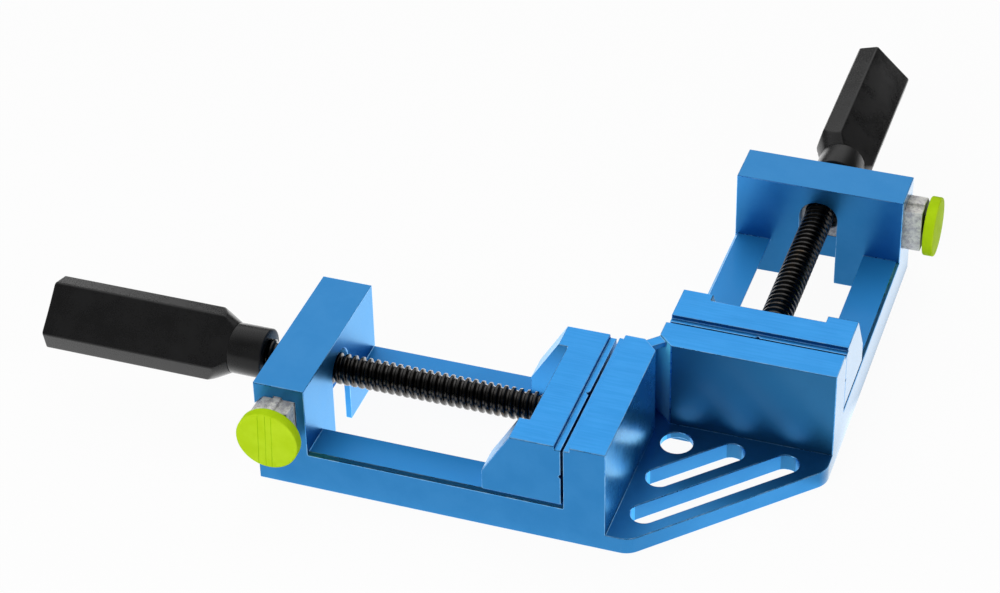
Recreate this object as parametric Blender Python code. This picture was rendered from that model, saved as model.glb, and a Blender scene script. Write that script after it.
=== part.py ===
"""Corner vise with two screws: one hollow frame, two sliding jaws, two lead screws, two release blocks.

The clamp corner is where the two fixed jaw faces meet. Each arm is drawn in its own coordinates:
  along  from the fixed jaw's face towards the handle
  out    from the clamp corner towards the side that carries the button
  up     from the base
Arm B is the mirror image of arm A across the vertical plane through the corner's diagonal.
Everything is in metres, with the base of the frame at height 0.
"""

from math import atan2, cos, pi, radians, sin, sqrt, tan

import bmesh
import bpy
from mathutils import Matrix, Vector

# Gap between pieces that touch or run on each other
CLEARANCE = 0.0003

# Arm of the frame
FRAME_HEIGHT = 0.045
ARM_INNER = 0.015
ARM_WIDTH = 0.06885
RAIL_LENGTH = 0.0994
RAIL_WIDTH = 0.0149
RAIL_HEIGHT = 0.0165
RAIL_WALL = 0.0035
RAIL_FLANGE = 0.0045
RAIL_LIP = 0.0008
RAIL_CHAMFER = 0.0012
END_BLOCK_DEPTH = 0.020
END_BLOCK_WALL = 0.0024
SIDE_WALL = 0.0035
CHANNEL_FLOOR = 0.0018

# Fixed jaws and the corner between them: a fill joins their ends, and a thin web bridges them at the top
FIXED_JAW_DEPTH = 0.01585
FIXED_JAW_DROP = 0.00095
FIXED_JAW_START = 0.0145
FIXED_JAW_MITRE = 0.00585
FIXED_RABBET_WIDTH = 0.0023
FIXED_RABBET_DEPTH = 0.0018
JAW_CORE_WALL = 0.0035
JAW_CORE_ROOF = 0.006
JAW_CORE_RIB = 0.003
WEB_THICKNESS = 0.00445
WEB_DROP = 0.0017
WEB_DEPTH = 0.0022
CORNER_FILL_START = 0.0123
CORNER_FILL_WALL = 0.002
CORNER_FILL_DROP = 0.007
CORNER_FILL_REACH = 0.0085

# Base plate between the fixed jaws; distances run along the diagonal from the clamp corner. The inner slot's
# rim is the metal between its ends and the fixed jaws, the outer one's that to the line of the arm's outer side
PLATE_THICKNESS = 0.007
PLATE_REACH = 0.0768
PLATE_CORNER_RADIUS = 0.0085
PLATE_SKIN = 0.00275
POCKET_RIM = 0.003
HOLE_DISTANCE = 0.037
HOLE_RADIUS = 0.0062
SLOT_WIDTH = 0.0104
INNER_SLOT_DISTANCE = 0.0514
INNER_SLOT_RIM = 0.00441
OUTER_SLOT_DISTANCE = 0.06655
OUTER_SLOT_RIM = 0.01038

# Moving jaw
JAW_OPENING = 0.00094
MOVING_JAW_DROP = 0.00145
MOVING_JAW_WALL = 0.01546
MOVING_JAW_TOP_DEPTH = 0.01926
MOVING_JAW_FOOT_DEPTH = 0.03026
MOVING_JAW_SLOPE_END = 0.0253
MOVING_RABBET_WIDTH = 0.0024
MOVING_RABBET_DEPTH = 0.0015
RECESS_WIDTH = 0.0449
JAW_GROOVE_DEPTH = 0.0009
JAW_GROOVE_RISE = 0.013
JAW_LIFT = 0.0005
JAW_SIDE_GAP = 0.0001

# Keeper plate under the rails, with its screws
KEEPER_THICKNESS = 0.004
KEEPER_SIDE_GAP = 0.0009
KEEPER_END_SETBACK = 0.0006
KEEPER_SCREW_RADIUS = 0.002
KEEPER_SCREW_LENGTH = 0.0135
KEEPER_HEAD_RADIUS = 0.0038
KEEPER_SCREW_SPACING = 0.024

# Lead screw and the pin that holds its nose in the moving jaw
SCREW_DROP = 0.0146
SCREW_RADIUS = 0.006
SCREW_BORE_GAP = 0.0005
SCREW_SLOT_RADIUS = 0.00775
NOSE_RADIUS = 0.004
NOSE_LENGTH = 0.0112
NOSE_GROOVE_RADIUS = 0.0022
NOSE_GROOVE_SETBACK = 0.0038
THRUST_PIN_RADIUS = 0.0015
THRUST_PIN_LENGTH = 0.0245
TAIL_HEX_WIDTH = 0.009
TAIL_LENGTH = 0.057

# Handle
HANDLE_STANDOFF = 0.0089
HANDLE_LENGTH = 0.090
COLLAR_RADIUS = 0.00975
COLLAR_LENGTH = 0.0135
CONE_LENGTH = 0.0082
CONE_END_RADIUS = 0.01414
GRIP_THICKNESS = 0.0145
GRIP_FLAT_WIDTH = 0.0205
GRIP_ROLL = radians(136.1)
GRIP_END_CHAMFER = 0.0006

# Release block that carries the half nut, its spring and its button
RELEASE_SET_IN = 0.004
RELEASE_DEPTH = 0.0156
RELEASE_ROOF = 0.006
RELEASE_HEIGHT = 0.0185
RELEASE_BEVEL_DEPTH = 0.0035
RELEASE_BEVEL_HEIGHT = 0.0038
RELEASE_RIB_SET_IN = 0.0066
RELEASE_RIB_WIDTH = 0.0029
RELEASE_RIB_HEIGHT = 0.001
RELEASE_PROUD = 0.00715
RELEASE_INNER_REACH = 0.0114
RELEASE_TRAVEL = 0.0025
SPRING_RADIUS = 0.0045
SPRING_WIRE_RADIUS = 0.0005
SPRING_COILS = 7
SPRING_END_WALL = 0.004
STEM_RADIUS = 0.0044
STEM_LENGTH = 0.0009
STEM_PEG_RADIUS = 0.0025
STEM_PEG_LENGTH = 0.011
BUTTON_RADIUS = 0.01215
BUTTON_THICKNESS = 0.0044
BUTTON_EDGE = 0.0006
BUTTON_SOCKET_DEPTH = 0.0025

# Places that follow from the sizes above
FIXED_JAW_HEIGHT = FRAME_HEIGHT - FIXED_JAW_DROP
MOVING_JAW_HEIGHT = FRAME_HEIGHT - MOVING_JAW_DROP
WEB_HEIGHT = FRAME_HEIGHT - WEB_DROP
SCREW_HEIGHT = FRAME_HEIGHT - SCREW_DROP
RELEASE_TOP = FRAME_HEIGHT - RELEASE_ROOF
RELEASE_BOTTOM = RELEASE_TOP - RELEASE_HEIGHT
ARM_OUTER = ARM_INNER + ARM_WIDTH
ARM_CENTRE = ARM_INNER + ARM_WIDTH / 2
END_BLOCK_OUTER = RAIL_LENGTH + END_BLOCK_DEPTH
RAIL_GAP = ARM_WIDTH - 2 * RAIL_WIDTH
JAW_FRONT = JAW_OPENING
JAW_BACK = JAW_OPENING + MOVING_JAW_FOOT_DEPTH
RECESS_FACE = JAW_OPENING + MOVING_JAW_WALL
JAW_UNDERSIDE = RAIL_HEIGHT + JAW_LIFT
FLANGE_UNDERSIDE = RAIL_HEIGHT - RAIL_FLANGE
KEEPER_TOP = FLANGE_UNDERSIDE - CLEARANCE
KEEPER_BOTTOM = KEEPER_TOP - KEEPER_THICKNESS
HANDLE_START = END_BLOCK_OUTER + HANDLE_STANDOFF
HANDLE_END = HANDLE_START + HANDLE_LENGTH
RELEASE_INNER_FACE = RAIL_LENGTH + RELEASE_SET_IN
RELEASE_OUTER_FACE = RELEASE_INNER_FACE + RELEASE_DEPTH
RELEASE_TOP_CENTRE = RELEASE_INNER_FACE + (RELEASE_DEPTH - RELEASE_BEVEL_DEPTH) / 2
RELEASE_RIB_CENTRE = RELEASE_INNER_FACE + RELEASE_RIB_SET_IN
RELEASE_MIDDLE_HEIGHT = (RELEASE_BOTTOM + RELEASE_TOP) / 2
RELEASE_OUT_END = ARM_OUTER + RELEASE_PROUD
RELEASE_IN_END = ARM_CENTRE - RELEASE_INNER_REACH
BUTTON_BACK = RELEASE_OUT_END + CLEARANCE + STEM_LENGTH + CLEARANCE
BUTTON_FACE = BUTTON_BACK + BUTTON_THICKNESS
CORNER_OFFSET = (HANDLE_END - BUTTON_FACE) / 2
DIAGONAL = sqrt(2)

# Arm coordinates and corner coordinates to world coordinates, whose origin is under the middle of the part
ARM_A = Matrix(((-1, 0, 0, CORNER_OFFSET), (0, -1, 0, -CORNER_OFFSET), (0, 0, 1, 0), (0, 0, 0, 1)))
ARM_B = Matrix(((0, 1, 0, CORNER_OFFSET), (1, 0, 0, -CORNER_OFFSET), (0, 0, 1, 0), (0, 0, 0, 1)))
CORNER = Matrix.Translation((CORNER_OFFSET, -CORNER_OFFSET, 0)) @ Matrix.Rotation(-pi / 4, 4, "Z")
ARMS = {"a": ARM_A, "b": ARM_B}


def clear_scene():
    for obj in list(bpy.data.objects):
        bpy.data.objects.remove(obj, do_unlink=True)


def make_material(name, color, roughness, metallic):
    material = bpy.data.materials.new(name)
    material.use_nodes = True
    shader = material.node_tree.nodes["Principled BSDF"]
    shader.inputs["Base Color"].default_value = (*color, 1)
    shader.inputs["Roughness"].default_value = roughness
    shader.inputs["Metallic"].default_value = metallic
    return material


def arc(centre, radius, start, end, steps):
    """Points on a circle's arc, both ends included."""
    return [
        (centre[0] + radius * cos(start + (end - start) * i / steps),
         centre[1] + radius * sin(start + (end - start) * i / steps))
        for i in range(steps + 1)
    ]


def circle(centre, radius, steps):
    return arc(centre, radius, 0, 2 * pi, steps)[:-1]


def stadium(centre, length, width, steps=16):
    """A slot's outline, long in the second coordinate."""
    straight = (length - width) / 2
    upper = arc((centre[0], centre[1] + straight), width / 2, 0, pi, steps)
    lower = arc((centre[0], centre[1] - straight), width / 2, pi, 2 * pi, steps)
    return upper + lower


def filleted(points, radii, steps=8):
    """A polygon with its corners rounded, each by its own radius."""
    outline = []
    for i, corner in enumerate(points):
        if radii[i] == 0:
            outline.append(corner)
            continue
        here = Vector(corner)
        back = (Vector(points[i - 1]) - here).normalized()
        ahead = (Vector(points[(i + 1) % len(points)]) - here).normalized()
        half = back.angle(ahead) / 2
        centre = here + (back + ahead).normalized() * (radii[i] / sin(half))
        first = here + back * (radii[i] / tan(half)) - centre
        last = here + ahead * (radii[i] / tan(half)) - centre
        start = atan2(first.y, first.x)
        turn = (atan2(last.y, last.x) - start + pi) % (2 * pi) - pi
        outline += arc(tuple(centre), radii[i], start, start + turn, steps)
    return outline


def prism(profile, axis, low, high):
    """A closed solid that carries a flat outline along one arm axis: 'along', 'out' or 'up'."""
    place = {
        "along": lambda p, t: (t, p[0], p[1]),
        "out": lambda p, t: (p[0], t, p[1]),
        "up": lambda p, t: (p[0], p[1], t),
    }[axis]
    bm = bmesh.new()
    floor = [bm.verts.new(place(p, low)) for p in profile]
    roof = [bm.verts.new(place(p, high)) for p in profile]
    bm.faces.new(floor)
    bm.faces.new(reversed(roof))
    for i in range(len(profile)):
        j = (i + 1) % len(profile)
        bm.faces.new((floor[i], roof[i], roof[j], floor[j]))
    bmesh.ops.recalc_face_normals(bm, faces=bm.faces)
    return bm


def box(along, out, up):
    return prism([(along[0], out[0]), (along[1], out[0]), (along[1], out[1]), (along[0], out[1])], "up", *up)


def turned(profile, centre, axis, steps):
    """A solid of revolution; profile holds (distance along the axis, radius), on the axis at both ends."""
    lift = {
        "along": lambda t, p, q: (t, centre[0] + p, centre[1] + q),
        "out": lambda t, p, q: (centre[0] + p, t, centre[1] + q),
        "up": lambda t, p, q: (centre[0] + p, centre[1] + q, t),
    }[axis]
    bm = bmesh.new()
    rings = []
    for t, radius in profile:
        if radius == 0:
            rings.append([bm.verts.new(lift(t, 0, 0))])
        else:
            rings.append([bm.verts.new(lift(t, *point)) for point in circle((0, 0), radius, steps)])
    for low, high in zip(rings, rings[1:]):
        for i in range(steps):
            j = (i + 1) % steps
            corners = [low[i % len(low)], low[j % len(low)], high[j % len(high)], high[i % len(high)]]
            bm.faces.new(list(dict.fromkeys(corners)))
    bmesh.ops.recalc_face_normals(bm, faces=bm.faces)
    return bm


def cylinder(centre, radius, axis, low, high, steps=48):
    return turned([(low, 0), (low, radius), (high, radius), (high, 0)], centre, axis, steps)


def place(name, bm, matrix, origin=(0, 0, 0), material=None, parent=None, sharp=35):
    """Make an object from a bmesh in arm or corner coordinates, with its origin at the given point."""
    bm.transform(matrix)
    world = matrix @ Vector(origin)
    bmesh.ops.translate(bm, verts=bm.verts, vec=-world)
    bmesh.ops.recalc_face_normals(bm, faces=bm.faces)
    mesh = bpy.data.meshes.new(name)
    bm.to_mesh(mesh)
    bm.free()
    mesh.shade_smooth()
    mesh.set_sharp_from_angle(angle=radians(sharp))
    obj = bpy.data.objects.new(name, mesh)
    bpy.context.scene.collection.objects.link(obj)
    obj.location = world
    if material:
        mesh.materials.append(material)
    if parent:
        obj.parent = parent
        obj.location = world - parent.location
    return obj


def tool(name, bm, matrix, group):
    """A hidden guide solid that a Boolean reads."""
    obj = place(name, bm, matrix)
    obj.hide_render = True
    obj.display_type = "WIRE"
    bpy.context.scene.collection.objects.unlink(obj)
    group.objects.link(obj)
    return obj


def tool_group(name):
    group = bpy.data.collections.new(name)
    bpy.context.scene.collection.children.link(group)
    return group


def combine(obj, operation, group):
    modifier = obj.modifiers.new(operation.lower(), "BOOLEAN")
    modifier.operation = operation
    modifier.operand_type = "COLLECTION"
    modifier.collection = group
    modifier.solver = "EXACT"


def joint_empty(name, matrix, point):
    empty = bpy.data.objects.new(name, None)
    empty.empty_display_size = 0.01
    empty.location = matrix @ Vector(point)
    bpy.context.scene.collection.objects.link(empty)
    return empty


def rail_profile(outer, inward):
    """A rail's section: outer wall, top flange, and a lip whose underside slopes back to the flange."""
    inner = outer + inward * RAIL_WIDTH
    slope = inward * (RAIL_FLANGE - RAIL_LIP)
    wall = outer + inward * RAIL_WALL
    return [
        (outer, 0),
        (outer, RAIL_HEIGHT - RAIL_CHAMFER),
        (outer + inward * RAIL_CHAMFER, RAIL_HEIGHT),
        (inner, RAIL_HEIGHT),
        (inner, RAIL_HEIGHT - RAIL_LIP),
        (inner - slope, FLANGE_UNDERSIDE),
        (wall, FLANGE_UNDERSIDE),
        (wall, 0),
    ]


def fixed_jaw_plan():
    """Top view of a fixed jaw, whose inner end is cut at 45 degrees beside the corner channel."""
    return [
        (0, FIXED_JAW_START),
        (FIXED_JAW_MITRE - FIXED_JAW_DEPTH, FIXED_JAW_START),
        (-FIXED_JAW_DEPTH, FIXED_JAW_START + FIXED_JAW_MITRE),
        (-FIXED_JAW_DEPTH, ARM_OUTER),
        (0, ARM_OUTER),
    ]


def release_profile(grow):
    """Section of the release block; grow offsets it outwards for the channel that holds it."""
    inner = RELEASE_INNER_FACE - grow
    bottom = RELEASE_BOTTOM - grow
    top = RELEASE_TOP + grow
    reach = RELEASE_OUTER_FACE
    rise = RELEASE_BEVEL_HEIGHT
    if grow:
        # The channel's bevels run on past the end block's face, so its mouth is open between two lips
        reach = END_BLOCK_OUTER + grow
        rise = RELEASE_BEVEL_HEIGHT * (reach - RELEASE_OUTER_FACE + RELEASE_BEVEL_DEPTH) / RELEASE_BEVEL_DEPTH
    bevel = RELEASE_OUTER_FACE - RELEASE_BEVEL_DEPTH
    rib_half = RELEASE_RIB_WIDTH / 2 + grow
    return [
        (inner, bottom),
        (bevel, bottom),
        (reach, bottom + rise),
        (reach, top - rise),
        (bevel, top),
        (RELEASE_RIB_CENTRE + rib_half, top),
        (RELEASE_RIB_CENTRE + rib_half, top + RELEASE_RIB_HEIGHT),
        (RELEASE_RIB_CENTRE - rib_half, top + RELEASE_RIB_HEIGHT),
        (RELEASE_RIB_CENTRE - rib_half, top),
        (inner, top),
    ]


def grip_profile():
    """Flattened hexagon with equal angles, rolled about the screw's axis."""
    half_flat = GRIP_FLAT_WIDTH / 2
    half_thick = GRIP_THICKNESS / 2
    tip = half_flat + half_thick / tan(radians(60))
    corners = [
        (tip, 0),
        (half_flat, half_thick),
        (-half_flat, half_thick),
        (-tip, 0),
        (-half_flat, -half_thick),
        (half_flat, -half_thick),
    ]
    return [
        (ARM_CENTRE + x * cos(GRIP_ROLL) - y * sin(GRIP_ROLL),
         SCREW_HEIGHT + x * sin(GRIP_ROLL) + y * cos(GRIP_ROLL))
        for x, y in corners
    ]


def hexagon(centre, width):
    return circle(centre, width / 2 / cos(pi / 6), 6)


def build_frame(material):
    """The one-piece frame: hollow rails, end blocks, fixed jaws, corner web and slotted plate."""
    solids = tool_group("frame_solids")
    cuts = tool_group("frame_cuts")
    web_start = (FIXED_JAW_DEPTH - FIXED_JAW_MITRE + FIXED_JAW_START) / DIAGONAL
    half_channel = (FIXED_JAW_START + FIXED_JAW_MITRE - FIXED_JAW_DEPTH) / DIAGONAL
    inside = FIXED_JAW_DEPTH / 2
    past = 0.01

    for arm, matrix in ARMS.items():
        for side, outer, inward in (("outer", ARM_OUTER, -1), ("inner", ARM_INNER, 1)):
            rail = prism(rail_profile(outer, inward), "along", -inside, RAIL_LENGTH + END_BLOCK_WALL / 2)
            tool(f"rail_{side}_{arm}", rail, matrix, solids)
        block = box((RAIL_LENGTH, END_BLOCK_OUTER), (ARM_INNER, ARM_OUTER), (0, FRAME_HEIGHT))
        tool(f"end_block_{arm}", block, matrix, solids)
        if arm == "b":
            tool(f"fixed_jaw_{arm}", prism(fixed_jaw_plan(), "up", 0, FIXED_JAW_HEIGHT), matrix, solids)
        rabbet = box((-FIXED_RABBET_WIDTH, past), (FIXED_JAW_START - past, ARM_OUTER + past),
                     (FIXED_JAW_HEIGHT - FIXED_RABBET_DEPTH, FRAME_HEIGHT + past))
        tool(f"fixed_rabbet_{arm}", rabbet, matrix, cuts)

        # Cores that open downwards: two in the fixed jaw, one under the release channel
        core_start = FIXED_JAW_START + FIXED_JAW_MITRE + JAW_CORE_WALL
        core_end = ARM_OUTER - JAW_CORE_WALL
        core_middle = (core_start + core_end) / 2
        core_along = (-FIXED_JAW_DEPTH + JAW_CORE_WALL, -JAW_CORE_WALL)
        core_up = (-past, FIXED_JAW_HEIGHT - JAW_CORE_ROOF)
        for half, out in enumerate(((core_start, core_middle - JAW_CORE_RIB / 2),
                                    (core_middle + JAW_CORE_RIB / 2, core_end))):
            tool(f"jaw_core_{arm}_{half}", box(core_along, out, core_up), matrix, cuts)
        channel_bottom = RELEASE_BOTTOM - CLEARANCE
        tool(f"end_core_{arm}",
             box((RAIL_LENGTH + END_BLOCK_WALL, END_BLOCK_OUTER - END_BLOCK_WALL),
                 (ARM_INNER + SIDE_WALL, ARM_OUTER - SIDE_WALL),
                 (-past, channel_bottom - CHANNEL_FLOOR)),
             matrix, cuts)

        # The channel for the release block, open at the arm's outer side
        channel = prism(release_profile(CLEARANCE), "out", ARM_INNER + SPRING_END_WALL, ARM_OUTER + past)
        tool(f"release_channel_{arm}", channel, matrix, cuts)

        # The screw's way in is an upside-down U that is open to the base, and its way out a round bore
        slot = [(ARM_CENTRE - SCREW_SLOT_RADIUS, -past), (ARM_CENTRE + SCREW_SLOT_RADIUS, -past)]
        slot += arc((ARM_CENTRE, SCREW_HEIGHT), SCREW_SLOT_RADIUS, 0, pi, 24)
        tool(f"screw_slot_{arm}",
             prism(slot, "along", RAIL_LENGTH - past / 2, RELEASE_INNER_FACE + CLEARANCE), matrix, cuts)
        bore = cylinder((ARM_CENTRE, SCREW_HEIGHT), SCREW_RADIUS + SCREW_BORE_GAP, "along",
                        RELEASE_INNER_FACE, END_BLOCK_OUTER + past)
        tool(f"screw_bore_{arm}", bore, matrix, cuts)

    corner_at = Matrix.Translation((CORNER_OFFSET, -CORNER_OFFSET, 0))
    reach = PLATE_REACH * DIAGONAL
    inner_edge = (web_start - WEB_THICKNESS / 4) * DIAGONAL
    plate = filleted(
        [
            (inside, -ARM_OUTER),
            (reach - ARM_OUTER, -ARM_OUTER),
            (ARM_OUTER, ARM_OUTER - reach),
            (ARM_OUTER, -inside),
            (inner_edge - inside, -inside),
            (inside, inside - inner_edge),
        ],
        [0, PLATE_CORNER_RADIUS, PLATE_CORNER_RADIUS, 0, 0, 0],
    )
    tool("plate", prism(plate, "up", 0, PLATE_THICKNESS), corner_at, solids)
    side = half_channel + WEB_THICKNESS / 3
    web = box((web_start, web_start + WEB_THICKNESS), (-side, side), (WEB_HEIGHT - WEB_DEPTH, WEB_HEIGHT))
    tool("corner_web", web, CORNER, solids)

    # The fill stands between the jaws' ends, and the channel between their mitres runs on into it
    fill_end = web_start + WEB_THICKNESS / 4
    fill_top = FRAME_HEIGHT - CORNER_FILL_DROP
    fill = box((CORNER_FILL_START, fill_end), (-CORNER_FILL_REACH, CORNER_FILL_REACH), (0, fill_top))
    tool("corner_fill", fill, CORNER, solids)
    channel = box((CORNER_FILL_START + CORNER_FILL_WALL, fill_end + WEB_THICKNESS / 4),
                  (-half_channel, half_channel), (PLATE_THICKNESS, fill_top + WEB_THICKNESS / 4))
    tool("corner_channel", channel, CORNER, cuts)

    hole = cylinder((HOLE_DISTANCE, 0), HOLE_RADIUS, "up", -past, PLATE_THICKNESS + past)
    tool("plate_hole", hole, CORNER, cuts)
    inner_half = INNER_SLOT_DISTANCE - (FIXED_JAW_DEPTH + INNER_SLOT_RIM + SLOT_WIDTH / 2) * DIAGONAL
    outer_half = (ARM_OUTER - OUTER_SLOT_RIM - SLOT_WIDTH / 2) * DIAGONAL - OUTER_SLOT_DISTANCE
    for name, distance, half in (("inner", INNER_SLOT_DISTANCE, inner_half),
                                 ("outer", OUTER_SLOT_DISTANCE, outer_half)):
        slot = prism(stadium((distance, 0), 2 * half + SLOT_WIDTH, SLOT_WIDTH), "up",
                     -past, PLATE_THICKNESS + past)
        tool(f"plate_slot_{name}", slot, CORNER, cuts)
    pocket_wall = FIXED_JAW_DEPTH + CLEARANCE
    pocket_edge = (INNER_SLOT_DISTANCE - SLOT_WIDTH / 2 - POCKET_RIM) * DIAGONAL
    pocket = [
        (pocket_wall, -pocket_wall),
        (pocket_wall, pocket_wall - pocket_edge),
        (pocket_edge - pocket_wall, -pocket_wall),
    ]
    tool("plate_pocket", prism(pocket, "up", -past, PLATE_THICKNESS - PLATE_SKIN), corner_at, cuts)

    frame = place("frame", prism(fixed_jaw_plan(), "up", 0, FIXED_JAW_HEIGHT), ARM_A, material=material)
    combine(frame, "UNION", solids)
    combine(frame, "DIFFERENCE", cuts)
    return frame


def build_jaw(arm, matrix, slide, material):
    """Moving jaw: rabbeted face, sloped back with a recess for the screw, and a guide between the rails."""
    profile = [
        (JAW_FRONT, JAW_UNDERSIDE),
        (JAW_FRONT, MOVING_JAW_HEIGHT - MOVING_RABBET_DEPTH),
        (JAW_FRONT + MOVING_RABBET_WIDTH, MOVING_JAW_HEIGHT - MOVING_RABBET_DEPTH),
        (JAW_FRONT + MOVING_RABBET_WIDTH, MOVING_JAW_HEIGHT),
        (JAW_FRONT + MOVING_JAW_TOP_DEPTH, MOVING_JAW_HEIGHT),
        (JAW_BACK, MOVING_JAW_SLOPE_END),
        (JAW_BACK, JAW_UNDERSIDE),
    ]
    body = prism(profile, "out", ARM_INNER + JAW_SIDE_GAP, ARM_OUTER - JAW_SIDE_GAP)
    jaw = place(f"moving_jaw_{arm}", body, matrix, (JAW_FRONT, ARM_CENTRE, SCREW_HEIGHT), material, slide)

    solids = tool_group(f"jaw_solids_{arm}")
    guide = box((JAW_FRONT, RECESS_FACE),
                (ARM_CENTRE - RAIL_GAP / 2 + CLEARANCE, ARM_CENTRE + RAIL_GAP / 2 - CLEARANCE),
                (FLANGE_UNDERSIDE, JAW_UNDERSIDE + RAIL_LIP))
    tool(f"jaw_guide_{arm}", guide, matrix, solids)
    combine(jaw, "UNION", solids)

    cuts = tool_group(f"jaw_cuts_{arm}")
    recess = box((RECESS_FACE, JAW_BACK + RAIL_HEIGHT),
                 (ARM_CENTRE - RECESS_WIDTH / 2, ARM_CENTRE + RECESS_WIDTH / 2),
                 (0, FRAME_HEIGHT))
    tool(f"jaw_recess_{arm}", recess, matrix, cuts)
    # V-grooves that cross on the clamping face and seat round work
    past = JAW_GROOVE_DEPTH
    groove_height = JAW_UNDERSIDE + JAW_GROOVE_RISE
    upright = [(JAW_FRONT - past, ARM_CENTRE - 2 * past), (JAW_FRONT + past, ARM_CENTRE),
               (JAW_FRONT - past, ARM_CENTRE + 2 * past)]
    tool(f"jaw_groove_upright_{arm}", prism(upright, "up", 0, FRAME_HEIGHT), matrix, cuts)
    level = [(JAW_FRONT - past, groove_height - 2 * past), (JAW_FRONT + past, groove_height),
             (JAW_FRONT - past, groove_height + 2 * past)]
    tool(f"jaw_groove_level_{arm}", prism(level, "out", 0, ARM_OUTER + ARM_INNER), matrix, cuts)
    bore = cylinder((ARM_CENTRE, SCREW_HEIGHT), NOSE_RADIUS + CLEARANCE, "along",
                    RECESS_FACE - NOSE_LENGTH - CLEARANCE, JAW_BACK)
    tool(f"nose_bore_{arm}", bore, matrix, cuts)
    pin_along, pin_out = thrust_pin_place()
    pin_hole = cylinder((pin_along, pin_out), THRUST_PIN_RADIUS + CLEARANCE, "up",
                        0, FLANGE_UNDERSIDE + THRUST_PIN_LENGTH + 2 * CLEARANCE, 24)
    tool(f"pin_hole_{arm}", pin_hole, matrix, cuts)
    for index, centre in enumerate(keeper_screw_places()):
        hole = cylinder(centre, KEEPER_SCREW_RADIUS + CLEARANCE, "up",
                        0, KEEPER_BOTTOM + KEEPER_SCREW_LENGTH + 2 * CLEARANCE, 24)
        tool(f"jaw_screw_hole_{arm}_{index}", hole, matrix, cuts)
    combine(jaw, "DIFFERENCE", cuts)
    return jaw


def keeper_screw_places():
    middle = (JAW_FRONT + RECESS_FACE) / 2
    return [(middle, ARM_CENTRE + side * KEEPER_SCREW_SPACING / 2) for side in (-1, 1)]


def thrust_pin_place():
    """The pin stands beside the screw's nose, with its flank in the nose's groove."""
    along = RECESS_FACE + CLEARANCE - NOSE_GROOVE_SETBACK - THRUST_PIN_RADIUS - CLEARANCE
    out = ARM_CENTRE + NOSE_GROOVE_RADIUS + CLEARANCE + THRUST_PIN_RADIUS
    return along, out


def build_keeper(arm, matrix, slide, plate_material, screw_material):
    """Plate under the rail flanges with two countersunk screws, which holds the jaw down on the rails."""
    reach = ARM_WIDTH / 2 - RAIL_WALL - KEEPER_SIDE_GAP
    middle = (JAW_FRONT + RECESS_FACE) / 2
    plate = box((JAW_FRONT + KEEPER_END_SETBACK, RECESS_FACE - KEEPER_END_SETBACK),
                (ARM_CENTRE - reach, ARM_CENTRE + reach), (KEEPER_BOTTOM, KEEPER_TOP))
    keeper = place(f"keeper_plate_{arm}", plate, matrix, (middle, ARM_CENTRE, KEEPER_BOTTOM),
                   plate_material, slide)
    cuts = tool_group(f"keeper_cuts_{arm}")
    head_height = KEEPER_HEAD_RADIUS - KEEPER_SCREW_RADIUS
    for index, centre in enumerate(keeper_screw_places()):
        # The hole follows the screw's cone at the clearance, measured across the 45 degree slope
        side = CLEARANCE * DIAGONAL
        profile = [
            (KEEPER_BOTTOM - side, 0),
            (KEEPER_BOTTOM - side, KEEPER_HEAD_RADIUS + 2 * side),
            (KEEPER_BOTTOM + head_height + side - CLEARANCE, KEEPER_SCREW_RADIUS + CLEARANCE),
            (KEEPER_TOP + side, KEEPER_SCREW_RADIUS + CLEARANCE),
            (KEEPER_TOP + side, 0),
        ]
        tool(f"keeper_hole_{arm}_{index}", turned(profile, centre, "up", 24), matrix, cuts)
        screw = [
            (KEEPER_BOTTOM, 0),
            (KEEPER_BOTTOM, KEEPER_HEAD_RADIUS),
            (KEEPER_BOTTOM + head_height, KEEPER_SCREW_RADIUS),
            (KEEPER_BOTTOM + KEEPER_SCREW_LENGTH, KEEPER_SCREW_RADIUS),
            (KEEPER_BOTTOM + KEEPER_SCREW_LENGTH, 0),
        ]
        place(f"keeper_screw_{arm}_{index + 1}", turned(screw, centre, "up", 24), matrix,
              (*centre, KEEPER_BOTTOM), screw_material, slide)
    combine(keeper, "DIFFERENCE", cuts)


def build_thrust_pin(arm, matrix, slide, material):
    pin_along, pin_out = thrust_pin_place()
    pin = cylinder((pin_along, pin_out), THRUST_PIN_RADIUS, "up",
                   FLANGE_UNDERSIDE + CLEARANCE, FLANGE_UNDERSIDE + CLEARANCE + THRUST_PIN_LENGTH, 24)
    place(f"thrust_pin_{arm}", pin, matrix, (pin_along, pin_out, FLANGE_UNDERSIDE), material, slide)


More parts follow.
